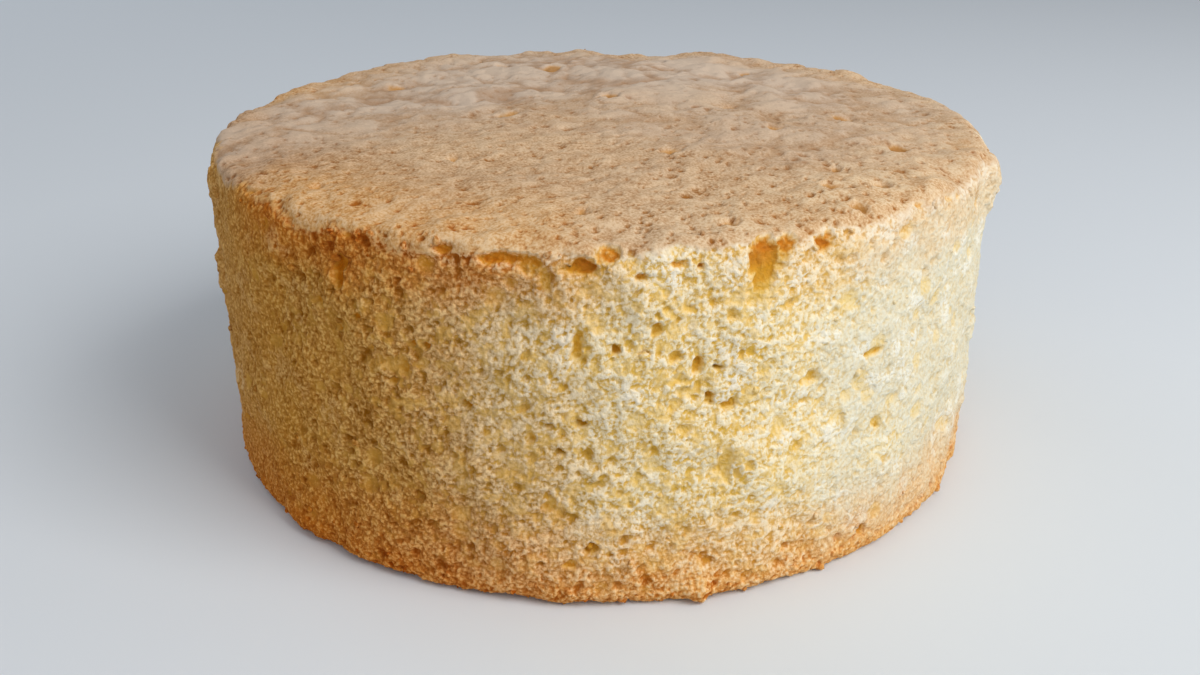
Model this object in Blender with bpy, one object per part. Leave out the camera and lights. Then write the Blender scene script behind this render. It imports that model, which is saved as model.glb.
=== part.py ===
"""A tall plain sponge cake, round and uncut, as it comes out of a straight-sided cake tin.

It is one piece of food, so it is one solid. A turned outline (rounded foot, straight wall, rounded rim, low crown)
is built ring by ring and each point is then moved along the outline's own outward direction, which gives the
crumb's bumps, the torn places low on the wall, the lumps round the foot and the dimpled crust. The larger open
bubbles are cut out of it as small ellipsoids.

Units are metres and +Z is up. The origin is on the resting face, in the middle of the cake's bounding box.
Angles run round the cake from its front, which faces -Y, and are positive towards +X.
"""

import math
import random

import bmesh
import bpy
from mathutils import Matrix, Vector, noise

MM = 0.001

# Driving dimensions: a 20 cm tin, and what the crumb shrinks from it
TOP_RADIUS = 98.5 * MM
BASE_RADIUS = 98.7 * MM
RIM_HEIGHT = 83.0 * MM
RIM_ROUND = 5.0 * MM
FOOT_ROUND = 3.2 * MM
CROWN_RISE = 3.0 * MM

# How finely the solid is divided; a ring of the crown has half as many points once they stand closer than this
SECTORS = 120
FOOT_STEPS = 2
WALL_STEPS = 16
RIM_STEPS = 3
CROWN_STEP = 4.8 * MM
HALVE_BELOW = 2.5 * MM
CENTRE_SECTORS = 15

# Relief of the crumb on the wall: height of the bumps and the distance from one to the next
BROAD_BUMP = (1.2 * MM, 17.0 * MM)
FINE_BUMP = (1.2 * MM, 8.5 * MM)

# Relief of the crust: slow swells, and the wrinkles between them
CRUST_SWELL = (1.5 * MM, 26.0 * MM)
CRUST_WRINKLE = (2.0 * MM, 15.0 * MM)
WRINKLE_CALM_FRONT = 0.35

# Places low on the wall where the crumb tore away: angle, height, half width, half height, depth
TORN_PLACES = (
    (-58.0, 15.0 * MM, 10.0 * MM, 9.0 * MM, 1.8 * MM),
    (-49.0, 8.0 * MM, 7.0 * MM, 4.0 * MM, 1.2 * MM),
    (55.0, 17.0 * MM, 6.0 * MM, 8.0 * MM, 1.6 * MM),
    (148.0, 30.0 * MM, 9.0 * MM, 7.0 * MM, 1.4 * MM),
    (-124.0, 12.0 * MM, 8.0 * MM, 6.0 * MM, 1.6 * MM),
)

# Crumbs baked on round the foot and the rim: angle, height, half width, half height, how far they stand out
CRUMB_LUMPS = (
    (12.6, 1.5 * MM, 3.6 * MM, 3.4 * MM, 2.4 * MM),
    (-14.0, 2.0 * MM, 5.0 * MM, 2.4 * MM, 0.9 * MM),
    (34.0, 2.0 * MM, 5.0 * MM, 2.6 * MM, 0.9 * MM),
    (-35.0, 2.5 * MM, 6.0 * MM, 2.6 * MM, 0.8 * MM),
    (-72.0, 71.0 * MM, 6.0 * MM, 3.0 * MM, 1.1 * MM),
    (-72.0, 65.0 * MM, 6.0 * MM, 2.8 * MM, 1.1 * MM),
    (-71.0, 43.0 * MM, 6.0 * MM, 5.0 * MM, 1.5 * MM),
    (72.0, 75.0 * MM, 7.0 * MM, 7.0 * MM, 1.6 * MM),
    (72.0, 23.0 * MM, 6.0 * MM, 5.0 * MM, 1.3 * MM),
    (110.0, 2.0 * MM, 4.0 * MM, 3.0 * MM, 1.2 * MM),
    (-160.0, 2.0 * MM, 5.0 * MM, 2.8 * MM, 1.3 * MM),
)

# Dimples of the crust: x, y, radius, depth
CRUST_DIMPLES = (
    (-26.0 * MM, 14.0 * MM, 9.0 * MM, 1.7 * MM),
    (-40.0 * MM, 10.0 * MM, 7.0 * MM, 1.3 * MM),
    (-12.0 * MM, 44.0 * MM, 10.0 * MM, 1.2 * MM),
    (36.0 * MM, 17.0 * MM, 8.0 * MM, 1.4 * MM),
    (37.0 * MM, 52.0 * MM, 9.0 * MM, 1.3 * MM),
    (52.0 * MM, 31.0 * MM, 8.0 * MM, 1.1 * MM),
    (45.0 * MM, -8.0 * MM, 7.0 * MM, 1.0 * MM),
    (14.0 * MM, -26.0 * MM, 9.0 * MM, 0.9 * MM),
    (-18.0 * MM, 72.0 * MM, 9.0 * MM, 1.0 * MM),
    (-58.0 * MM, -12.0 * MM, 10.0 * MM, 0.8 * MM),
)

# Open bubbles on the wall, at the front: angle, height, width, height of the mouth, depth
WALL_HOLLOWS = (
    (18.9, 77.5 * MM, 4.6 * MM, 9.5 * MM, 3.6 * MM),
    (21.6, 77.0 * MM, 4.4 * MM, 8.0 * MM, 3.0 * MM),
    (18.0, 70.5 * MM, 4.2 * MM, 3.0 * MM, 1.8 * MM),
    (27.4, 78.9 * MM, 4.2 * MM, 4.8 * MM, 2.8 * MM),
    (-33.0, 71.0 * MM, 2.9 * MM, 7.2 * MM, 2.2 * MM),
    (2.2, 80.0 * MM, 4.0 * MM, 5.0 * MM, 2.0 * MM),
    (-2.1, 78.2 * MM, 6.0 * MM, 4.4 * MM, 3.0 * MM),
    (-9.6, 78.0 * MM, 5.6 * MM, 3.2 * MM, 2.0 * MM),
    (-13.4, 79.0 * MM, 5.2 * MM, 2.8 * MM, 1.8 * MM),
    (-18.4, 80.0 * MM, 4.4 * MM, 3.0 * MM, 1.8 * MM),
    (11.6, 56.5 * MM, 2.8 * MM, 3.6 * MM, 2.4 * MM),
    (14.6, 47.4 * MM, 5.0 * MM, 2.6 * MM, 2.6 * MM),
    (-2.6, 61.5 * MM, 2.8 * MM, 9.0 * MM, 1.8 * MM),
    (6.5, 64.9 * MM, 3.6 * MM, 3.8 * MM, 2.0 * MM),
    (8.6, 58.9 * MM, 3.0 * MM, 2.8 * MM, 1.6 * MM),
    (26.5, 49.5 * MM, 5.2 * MM, 4.0 * MM, 2.2 * MM),
    (36.3, 52.2 * MM, 5.0 * MM, 2.8 * MM, 1.8 * MM),
    (10.2, 50.3 * MM, 5.0 * MM, 3.6 * MM, 1.6 * MM),
    (-37.0, 63.0 * MM, 3.0 * MM, 2.8 * MM, 1.6 * MM),
    (-24.0, 53.0 * MM, 3.2 * MM, 4.0 * MM, 1.6 * MM),
    (15.4, 33.2 * MM, 3.2 * MM, 9.0 * MM, 1.4 * MM),
    (-6.0, 25.0 * MM, 3.6 * MM, 3.0 * MM, 1.4 * MM),
    (-1.0, 14.7 * MM, 2.8 * MM, 3.8 * MM, 1.8 * MM),
    (37.9, 34.1 * MM, 3.4 * MM, 3.0 * MM, 1.8 * MM),
    (37.0, 7.5 * MM, 3.4 * MM, 3.0 * MM, 1.8 * MM),
    (61.5, 77.0 * MM, 3.0 * MM, 6.0 * MM, 2.2 * MM),
)

# Open bubbles on the rest of the wall, spread evenly with a seeded draw
BACK_HOLLOW_COUNT = 34
BACK_ARC = (68.0, 318.0)
BACK_HEIGHTS = (7.0 * MM, 79.0 * MM)
BACK_MOUTH = (2.8 * MM, 5.6 * MM)
BACK_DEPTH_SHARE = 0.55
SEED = 20

# Pits in the crust: x, y, width across x, width across y, depth
CRUST_PITS = (
    (3.3 * MM, 24.8 * MM, 4.0 * MM, 3.0 * MM, 1.6 * MM),
    (72.2 * MM, -22.3 * MM, 6.0 * MM, 4.4 * MM, 1.6 * MM),
    (50.1 * MM, -66.6 * MM, 4.6 * MM, 3.2 * MM, 1.6 * MM),
    (60.8 * MM, -62.1 * MM, 4.2 * MM, 3.4 * MM, 1.8 * MM),
    (53.1 * MM, -48.1 * MM, 3.4 * MM, 3.0 * MM, 1.2 * MM),
    (-2.7 * MM, -81.1 * MM, 3.4 * MM, 3.0 * MM, 1.4 * MM),
    (25.1 * MM, -86.0 * MM, 3.4 * MM, 3.0 * MM, 1.4 * MM),
    (-61.0 * MM, -62.0 * MM, 3.2 * MM, 3.0 * MM, 1.2 * MM),
    (-30.0 * MM, 62.0 * MM, 3.6 * MM, 3.2 * MM, 1.2 * MM),
)

# A mouth wider than this is cut by a rounder ellipsoid
LARGE_MOUTH = 5.5 * MM

CRUMB_COLOUR = (0.70, 0.45, 0.16, 1.0)
CRUMB_ROUGHNESS = 0.9


def clear_scene():
    """Remove whatever the file holds, so that the cake is all there is."""
    for thing in list(bpy.data.objects):
        bpy.data.objects.remove(thing, do_unlink=True)


def crumb_material():
    """Matt, pale golden crumb."""
    material = bpy.data.materials.new("sponge crumb")
    material.use_nodes = True
    shader = material.node_tree.nodes["Principled BSDF"]
    shader.inputs["Base Color"].default_value = CRUMB_COLOUR
    shader.inputs["Roughness"].default_value = CRUMB_ROUGHNESS
    shader.inputs["Metallic"].default_value = 0.0
    return material


def turned_outline():
    """The outline as (radius, height, outward radial share, outward upward share), from the foot to the rim."""
    outline = []
    for step in range(FOOT_STEPS):
        turn = math.pi / 2 * step / FOOT_STEPS
        radius = BASE_RADIUS - FOOT_ROUND * (1 - math.sin(turn))
        outline.append((radius, FOOT_ROUND * (1 - math.cos(turn)), 1.0, 0.0))
    shoulder = RIM_HEIGHT - RIM_ROUND
    for step in range(WALL_STEPS + 1):
        share = step / WALL_STEPS
        radius = BASE_RADIUS + (TOP_RADIUS - BASE_RADIUS) * share
        outline.append((radius, FOOT_ROUND + (shoulder - FOOT_ROUND) * share, 1.0, 0.0))
    for step in range(1, RIM_STEPS + 1):
        turn = math.pi / 2 * step / RIM_STEPS
        radius = TOP_RADIUS - RIM_ROUND * (1 - math.cos(turn))
        outline.append((radius, shoulder + RIM_ROUND * math.sin(turn), math.cos(turn), math.sin(turn)))
    return outline


def angle_gap(first, second):
    """Smallest turn from one angle to another, in degrees."""
    return (first - second + 180.0) % 360.0 - 180.0


def soft_spot(across, along):
    """1 in the middle of a spot and 0 outside it, with a soft edge; both arguments are 1 at its edge."""
    reach = math.hypot(across, along)
    if reach >= 1.0:
        return 0.0
    return (1.0 - reach * reach) ** 2


def spots_at(spots, angle, height):
    """Summed depth of the wall's named spots at a point of the wall."""
    total = 0.0
    for spot_angle, spot_height, half_width, half_height, depth in spots:
        along = math.radians(angle_gap(angle, spot_angle)) * BASE_RADIUS
        total += depth * soft_spot(along / half_width, (height - spot_height) / half_height)
    return total


def bumps(point, bump):
    """Smooth bumps of one size, half of them hollows."""
    size, spacing = bump
    return size * noise.noise(point / spacing)


def wall_relief(point, angle):
    """How far the crumb of the wall stands out at a point."""
    relief = bumps(point, BROAD_BUMP) + bumps(point, FINE_BUMP)
    relief -= spots_at(TORN_PLACES, angle, point.z)
    relief += spots_at(CRUMB_LUMPS, angle, point.z)
    return relief


def crust_relief(point):
    """How far the crust stands up at a point: swells, wrinkles that are calmer at the front, and dimples."""
    size, spacing = CRUST_WRINKLE
    back_share = 0.5 + 0.5 * max(-1.0, min(1.0, point.y / TOP_RADIUS + 0.3))
    calm = WRINKLE_CALM_FRONT + (1.0 - WRINKLE_CALM_FRONT) * back_share
    fold = abs(noise.noise(point / spacing))
    relief = bumps(point, CRUST_SWELL) + size * calm * (0.25 - fold)
    for x, y, radius, depth in CRUST_DIMPLES:
        relief -= depth * soft_spot((point.x - x) / radius, (point.y - y) / radius)
    return relief


def surface_point(sector_share, radius, height, outward, upward):
    """A point of the outline turned to its place round the cake and moved by the relief there."""
    angle = 360.0 * sector_share
    turn = math.radians(angle)
    direction = Vector((math.sin(turn), -math.cos(turn), 0.0))
    point = direction * radius + Vector((0.0, 0.0, height))
    relief = outward * wall_relief(point, angle) + upward * crust_relief(point)
    moved = point + (direction * outward + Vector((0.0, 0.0, upward))) * relief
    moved.z = max(moved.z, 0.0)
    return moved


def add_ring(mesh, count, radius, height, outward, upward):
    """One ring of points, anticlockwise from the front."""
    ring = []
    for sector in range(count):
        ring.append(mesh.verts.new(surface_point(sector / count, radius, height, outward, upward)))
    return ring


def join_rings(mesh, lower, upper):
    """Faces between two rings; the upper one has as many points as the lower, or half as many."""
    count = len(lower)
    if len(upper) == count:
        for sector in range(count):
            ahead = (sector + 1) % count
            mesh.faces.new((lower[sector], lower[ahead], upper[ahead]))
            mesh.faces.new((lower[sector], upper[ahead], upper[sector]))
        return
    for sector in range(len(upper)):
        ahead = (sector + 1) % len(upper)
        first, middle, last = (lower[(2 * sector + shift) % count] for shift in range(3))
        mesh.faces.new((first, middle, upper[sector]))
        mesh.faces.new((middle, upper[ahead], upper[sector]))
        mesh.faces.new((middle, last, upper[ahead]))


def close_crown(mesh, rim_ring):
    """Rings of the crown from the rim inwards, with fewer points as they shrink, and a fan at the centre."""
    inner_radius = TOP_RADIUS - RIM_ROUND
    steps = round(inner_radius / CROWN_STEP)
    ring = rim_ring
    for step in range(1, steps):
        radius = inner_radius * (1 - step / steps)
        count = len(ring)
        spacing = 2 * math.pi * radius / count
        if spacing < HALVE_BELOW and count > CENTRE_SECTORS:
            count //= 2
        height = RIM_HEIGHT + CROWN_RISE * (1 - (radius / inner_radius) ** 2)
        inner = add_ring(mesh, count, radius, height, 0.0, 1.0)
        join_rings(mesh, ring, inner)
        ring = inner
    centre = mesh.verts.new(surface_point(0.0, 0.0, RIM_HEIGHT + CROWN_RISE, 0.0, 1.0))
    for sector, corner in enumerate(ring):
        mesh.faces.new((corner, ring[(sector + 1) % len(ring)], centre))


def cake_body(material):
    """The whole cake without its open bubbles, closed below by one flat resting face."""
    mesh = bmesh.new()
    rings = [add_ring(mesh, SECTORS, *place) for place in turned_outline()]
    for lower, upper in zip(rings, rings[1:]):
        join_rings(mesh, lower, upper)
    close_crown(mesh, rings[-1])
    mesh.faces.new(list(reversed(rings[0])))
    data = bpy.data.meshes.new("sponge_cake")
    mesh.to_mesh(data)
    mesh.free()
    data.materials.append(material)
    cake = bpy.data.objects.new("sponge_cake", data)
    bpy.context.scene.collection.objects.link(cake)
    return cake


def add_cutter(cutters, place, axes, half_sizes, spin):
    """An ellipsoid in its collection: axes are its sideways, upright and inward directions."""
    mesh = bmesh.new()
    fineness = 2 if max(half_sizes) * 2 > LARGE_MOUTH else 1
    turned = Matrix(axes).transposed().to_4x4() @ Matrix.Diagonal((*half_sizes, 1.0))
    bmesh.ops.create_icosphere(
        mesh,
        subdivisions=fineness,
        radius=1.0,
        matrix=Matrix.Translation(place) @ turned @ Matrix.Rotation(spin, 4, "Z"),
    )
    data = bpy.data.meshes.new("hollow")
    mesh.to_mesh(data)
    mesh.free()
    cutters.objects.link(bpy.data.objects.new("hollow", data))


def wall_place(cake, angle, height):
    """The point of the wall at an angle and a height, found by a ray from outside."""
    turn = math.radians(angle)
    outward = Vector((math.sin(turn), -math.cos(turn), 0.0))
    start = outward * 2 * BASE_RADIUS + Vector((0.0, 0.0, height))
    hit, place, _, _ = cake.ray_cast(start, -outward)
    return place if hit else outward * BASE_RADIUS + Vector((0.0, 0.0, height))


def cut_wall_hollow(cake, cutters, draw, hollow):
    """One open bubble on the wall."""
    angle, height, width, tall, depth = hollow
    turn = math.radians(angle)
    sideways = Vector((-math.cos(turn), -math.sin(turn), 0.0))
    inward = Vector((-math.sin(turn), math.cos(turn), 0.0))
    place = wall_place(cake, angle, height)
    axes = (sideways, Vector((0.0, 0.0, 1.0)), inward)
    add_cutter(cutters, place, axes, (width / 2, tall / 2, depth), draw.uniform(0.0, math.pi))


def back_hollows(draw):
    """Open bubbles for the rest of the wall: even steps round it, with drawn heights and sizes."""
    first, last = BACK_ARC
    for index in range(BACK_HOLLOW_COUNT):
        angle = first + (last - first) * (index + draw.uniform(0.1, 0.9)) / BACK_HOLLOW_COUNT
        height = draw.uniform(*BACK_HEIGHTS)
        width = draw.uniform(*BACK_MOUTH)
        tall = draw.uniform(*BACK_MOUTH)
        yield angle, height, width, tall, BACK_DEPTH_SHARE * min(width, tall)


def cut_crust_pit(cake, cutters, draw, pit):
    """One open pit in the crust."""
    x, y, width, length, depth = pit
    hit, place, _, _ = cake.ray_cast(Vector((x, y, 2 * RIM_HEIGHT)), Vector((0.0, 0.0, -1.0)))
    if not hit:
        return
    axes = (Vector((1.0, 0.0, 0.0)), Vector((0.0, -1.0, 0.0)), Vector((0.0, 0.0, -1.0)))
    add_cutter(cutters, place, axes, (width / 2, length / 2, depth), draw.uniform(0.0, math.pi))


def open_bubbles(cake):
    """Cut every hollow with one Boolean difference, apply it, and remove the ellipsoids."""
    draw = random.Random(SEED)
    cutters = bpy.data.collections.new("hollows")
    bpy.context.scene.collection.children.link(cutters)
    bpy.context.view_layer.update()
    for hollow in WALL_HOLLOWS:
        cut_wall_hollow(cake, cutters, draw, hollow)
    for hollow in back_hollows(draw):
        cut_wall_hollow(cake, cutters, draw, hollow)
    for pit in CRUST_PITS:
        cut_crust_pit(cake, cutters, draw, pit)
    cut = cake.modifiers.new("open bubbles", "BOOLEAN")
    cut.operation = "DIFFERENCE"
    cut.solver = "EXACT"
    cut.operand_type = "COLLECTION"
    cut.collection = cutters
    bpy.context.view_layer.update()
    evaluated = cake.evaluated_get(bpy.context.evaluated_depsgraph_get())
    data = bpy.data.meshes.new_from_object(evaluated)
    cake.modifiers.remove(cut)
    cake.data = data
    data.name = "sponge_cake"
    for hollow in list(cutters.objects):
        bpy.data.objects.remove(hollow, do_unlink=True)
    bpy.data.collections.remove(cutters)


def centre_on_origin(cake):
    """Bring the middle of the bounding box over the origin and the resting face to height 0."""
    lowest = Vector(map(min, zip(*(corner.co for corner in cake.data.vertices))))
    highest = Vector(map(max, zip(*(corner.co for corner in cake.data.vertices))))
    shift = Vector((-(lowest.x + highest.x) / 2, -(lowest.y + highest.y) / 2, -lowest.z))
    cake.data.transform(Matrix.Translation(shift))


def main():
    clear_scene()
    cake = cake_body(crumb_material())
    open_bubbles(cake)
    centre_on_origin(cake)
    cake.data.shade_smooth()


main()
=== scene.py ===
# %% [markdown]
# # A plain sponge cake, from its imported solid to a picture
#
# The real thing is a tall round sponge that was turned out of its tin: a thin tan crust on top, an open
# golden crumb on the wall where the lining was peeled off, and a browned foot. The imported solid has its
# size, its bumps and its larger bubbles. This lesson lays a fine skin over that solid, because the look
# of a sponge is in its bubbles of about a millimetre, which are far too many for the solid to carry.
#
# The frame is loaded first. Its box is kept, and its size is printed.

# %% Load the imported cake
import itertools
import math

import bmesh
import bpy
import numpy as np
from mathutils import Euler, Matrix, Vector
from mathutils.bvhtree import BVHTree


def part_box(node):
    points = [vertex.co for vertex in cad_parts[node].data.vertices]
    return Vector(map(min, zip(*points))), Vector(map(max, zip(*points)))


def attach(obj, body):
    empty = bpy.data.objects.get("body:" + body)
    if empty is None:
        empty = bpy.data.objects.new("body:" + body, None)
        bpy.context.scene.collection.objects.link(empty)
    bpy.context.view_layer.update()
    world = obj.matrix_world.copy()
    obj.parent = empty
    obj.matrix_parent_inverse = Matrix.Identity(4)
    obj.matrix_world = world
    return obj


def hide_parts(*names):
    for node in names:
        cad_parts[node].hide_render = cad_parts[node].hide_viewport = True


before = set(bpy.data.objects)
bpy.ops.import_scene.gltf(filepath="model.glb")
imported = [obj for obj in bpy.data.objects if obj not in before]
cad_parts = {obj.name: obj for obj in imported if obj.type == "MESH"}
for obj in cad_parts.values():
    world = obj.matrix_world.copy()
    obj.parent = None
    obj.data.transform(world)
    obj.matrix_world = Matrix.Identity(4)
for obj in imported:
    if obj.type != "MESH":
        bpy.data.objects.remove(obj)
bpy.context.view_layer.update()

solid_low, solid_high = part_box("sponge_cake")
print("solid, in mm:", [round(1000 * (high - low), 1) for low, high in zip(solid_low, solid_high)])

# %% [markdown]
# ## Noise that knows about bubbles
#
# Two kinds of noise shape the crumb. A smooth one gives bumps of a chosen size. The other scatters one
# round bubble in each cell of a grid and measures how deep a surface point lies inside the bubbles
# round it: cut by the cake's surface, they make just the bowls and thin ridges of a torn sponge. Their
# radii are drawn so that most are small and few are large, as in real crumb. Both read one table of
# seeded random numbers, so every run gives the same cake. The smooth noise is made on a square grid,
# which would show as faint straight lines on the wall, so that grid is turned off the cake's axes.
#
# A kind of bubble is written as five numbers: the size of its cells, its smallest and its largest
# radius, how rare large ones are, and a shift that makes it differ from the other kinds. A smooth noise
# is a strength, a size and a shift. All of this works in millimetres, which suits the size of a crumb.

# %% Smooth noise and bubbles
MM = 0.001
TABLE_SEED = 11
TABLE_SIZE = 97
GRID_TURN = np.array(Euler((0.6, 0.4, 0.9)).to_matrix(), np.float32)
FINE_BUBBLES = (0.95, 0.25, 0.8, 1.1, 2.0)
table = np.random.default_rng(TABLE_SEED).random((TABLE_SIZE ** 3, 4), dtype=np.float32)


def cells_near(cells, steps):
    """For each cell some steps away along the axes: those steps, and the cell's row in the table."""
    rows = [
        {step: (cells[:, axis] + step) % TABLE_SIZE * TABLE_SIZE ** (2 - axis) for step in steps}
        for axis in range(3)
    ]
    for away in itertools.product(steps, repeat=3):
        yield np.array(away, np.float32), rows[0][away[0]] + rows[1][away[1]] + rows[2][away[2]]


def swell(points, size, shift):
    """Smooth noise from -1 to 1 with bumps about size apart; each shift gives other bumps."""
    grid = (points @ GRID_TURN / size + shift).astype(np.float32)
    cells = np.floor(grid).astype(np.int32)
    share = grid - cells
    share = share * share * (3 - 2 * share)
    total = np.zeros(len(points), np.float32)
    for away, row in cells_near(cells, (0, 1)):
        sides = np.where(away > 0, share, 1 - share)
        total += sides[:, 0] * sides[:, 1] * sides[:, 2] * table[row, 0]
    return 2 * total - 1


def bumpy(points, noises, start=0.0):
    """Start with smooth noises added to it, each given by its strength, its size and its shift."""
    return sum((strength * swell(points, size, shift) for strength, size, shift in noises), start)


def pushed(points, reach, size, shifts):
    """Points pushed about by smooth noise, so that what is scattered among them isn't quite round."""
    return points + reach * np.stack([swell(points, size, shift) for shift in shifts], axis=1)


def bubble_bowls(points, size, small, large, rarity, shift):
    """Depth in mm of round bubbles, one to a cell of this size, with radii from small to large.

    A high rarity makes most of them small, each shift gives others, and the deepest counts.
    """
    radii = small + (large - small) * table[:, 3] ** rarity
    grid = (points / size + shift).astype(np.float32)
    cells = np.floor(grid).astype(np.int32)
    share = grid - cells
    deepest = np.zeros(len(points), np.float32)
    for away, row in cells_near(cells, (-1, 0, 1)):
        radius = radii[row]
        gap = table[row, :3] + away - share
        distance = size * size * np.einsum("ij,ij->i", gap, gap)
        np.maximum(deepest, radius - distance / radius, out=deepest)
    return deepest


def ramp(value, low, high):
    """0 below low, 1 above high, and smooth between them."""
    share = np.clip((value - low) / (high - low), 0, 1)
    return share * share * (3 - 2 * share)


sample = np.random.default_rng(1).random((4000, 3)) * 50
sample_depth = bubble_bowls(sample, *FINE_BUBBLES)
print("share of the crumb that lies in a fine bubble:", round(float((sample_depth > 0).mean()), 2))

# %% [markdown]
# ## The turned outline
#
# A cake from a round tin is a turned shape, so a point of its surface needs only two numbers: how far
# along the outline it is, from the foot up the wall and over the rim to the middle of the crown, and
# how far round. The outline is written as a function of its own length. Its sizes are the solid's own,
# so the skin follows it.

# %% The outline, by its length
FOOT_ROUND = 3.2
RIM_ROUND = 5.0
CROWN_RISE = 3.0
WALL_RADIUS = 98.6
RIM_HEIGHT = 83.0

foot_length = FOOT_ROUND * math.pi / 2
rim_length = RIM_ROUND * math.pi / 2
wall_length = RIM_HEIGHT - RIM_ROUND - FOOT_ROUND
crown_radius = WALL_RADIUS - RIM_ROUND
rim_start = foot_length + wall_length
crown_start = rim_start + rim_length
whole_length = crown_start + crown_radius


def outline(along):
    """Radius, height and outward direction (radial, upward) at a distance along the outline."""
    foot_turn = np.clip(along / FOOT_ROUND, 0, math.pi / 2)
    rim_turn = np.clip((along - rim_start) / RIM_ROUND, 0, math.pi / 2)
    up_wall = np.clip(along - foot_length, 0, wall_length)
    over_crown = np.clip(along - crown_start, 0, crown_radius)
    radius = WALL_RADIUS - FOOT_ROUND * (1 - np.sin(foot_turn))
    radius = radius - RIM_ROUND * (1 - np.cos(rim_turn)) - over_crown
    on_crown = 1 - ((crown_radius - over_crown) / crown_radius) ** 2
    height = FOOT_ROUND * (1 - np.cos(foot_turn)) + up_wall
    height = height + RIM_ROUND * np.sin(rim_turn) + CROWN_RISE * on_crown
    upward = np.sin(rim_turn) - np.cos(foot_turn)
    radial = np.sin(foot_turn) * np.cos(rim_turn)
    return radius, height, radial, upward


def directions(share):
    """Unit vectors from the axis outwards; share goes from 0 to 1 round the cake, starting at its front."""
    turn = 2 * math.pi * share
    return np.stack([np.sin(turn), -np.cos(turn), np.zeros_like(turn)], axis=-1)


def outline_points(along, share):
    """Points of the turned shape and their outward directions."""
    radius, height, radial, upward = outline(along)
    out = directions(share)
    points = out * radius[:, None]
    points[:, 2] = height
    normals = out * radial[:, None]
    normals[:, 2] = upward
    return points, normals


print("outline length, in mm:", round(whole_length, 1))

# %% [markdown]
# ## Reading the solid's form
#
# The solid isn't perfectly round: it bulges, dips and wrinkles. Rays shot at it along the outline's
# outward direction measure how far it stands from the turned shape. Its own flat faces and sharp little
# holes are smoothed out of that measure, because the skin makes those again, finer. Near the axis,
# where the sectors crowd, each ring's mean is used instead.

# %% Measure and smooth the form
FORM_STEP = 1.7
FORM_SECTORS = 360
RAY_START = 7.0
HOLE_EDGE = 0.35
HOLE_BLUR = 3.0
FORM_BLUR = 1.0
MEAN_WITHIN = 12.0

form_rings = round(whole_length / FORM_STEP) + 1
form_along = np.linspace(0, whole_length, form_rings)


def measured_form():
    """Distance of the solid from the turned shape, for each ring and sector of a coarse grid."""
    tree = BVHTree.FromObject(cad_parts["sponge_cake"], bpy.context.evaluated_depsgraph_get())
    along = np.repeat(form_along, FORM_SECTORS)
    share = np.tile(np.arange(FORM_SECTORS) / FORM_SECTORS, form_rings)
    points, normals = outline_points(along, share)
    form = np.zeros(len(points))
    for index, (point, normal) in enumerate(zip(points, normals)):
        start = Vector((point + normal * RAY_START) * MM)
        _, _, _, distance = tree.ray_cast(start, Vector(-normal), 2 * RAY_START * MM)
        if distance is not None:
            form[index] = RAY_START - distance / MM
    return form.reshape(form_rings, FORM_SECTORS)


def soften(form, cells):
    """Blur a grid of rings and sectors; the sectors run on round the cake."""
    reach = math.ceil(3 * cells)
    weights = np.exp(-0.5 * (np.arange(-reach, reach + 1) / cells) ** 2)
    weights /= weights.sum()
    padded = np.pad(form, ((reach, reach), (0, 0)), mode="edge")
    rows = sum(w * padded[i:i + len(form)] for i, w in enumerate(weights))
    return sum(w * np.roll(rows, i - reach, axis=1) for i, w in enumerate(weights))


raw_form = measured_form()
form = soften(np.maximum(raw_form, soften(raw_form, HOLE_BLUR) - HOLE_EDGE), FORM_BLUR)
middle_share = np.clip((form_along - whole_length + MEAN_WITHIN) / MEAN_WITHIN, 0, 1)[:, None]
form = form * (1 - middle_share) + form.mean(axis=1, keepdims=True) * middle_share
print("form, from and to, in mm:", round(float(form.min()), 2), round(float(form.max()), 2))


def form_at(along, share):
    """The smoothed form between the grid's points."""
    ring = np.clip(along / whole_length * (form_rings - 1), 0, form_rings - 1.001)
    sector = (share % 1.0) * FORM_SECTORS
    low_ring = ring.astype(int)
    low_sector = sector.astype(int) % FORM_SECTORS
    next_sector = (low_sector + 1) % FORM_SECTORS
    up = ring - low_ring
    on = sector - np.floor(sector)
    near = form[low_ring, low_sector] * (1 - on) + form[low_ring, next_sector] * on
    far = form[low_ring + 1, low_sector] * (1 - on) + form[low_ring + 1, next_sector] * on
    return near * (1 - up) + far * up


# %% [markdown]
# ## The bubbles that can be told apart
#
# Some hollows are large enough to know by sight, such as the deep amber one under the rim. The solid
# has the largest at the same places. Each is given by its angle from the front in degrees and, in
# millimetres, its height, its width, how tall it is and its depth. Round the back nobody has counted
# them, so a seeded draw spreads others there. A few flaps of crumb stand proud of the wall instead,
# where it tore off unevenly; they are listed in the same way.

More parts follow.
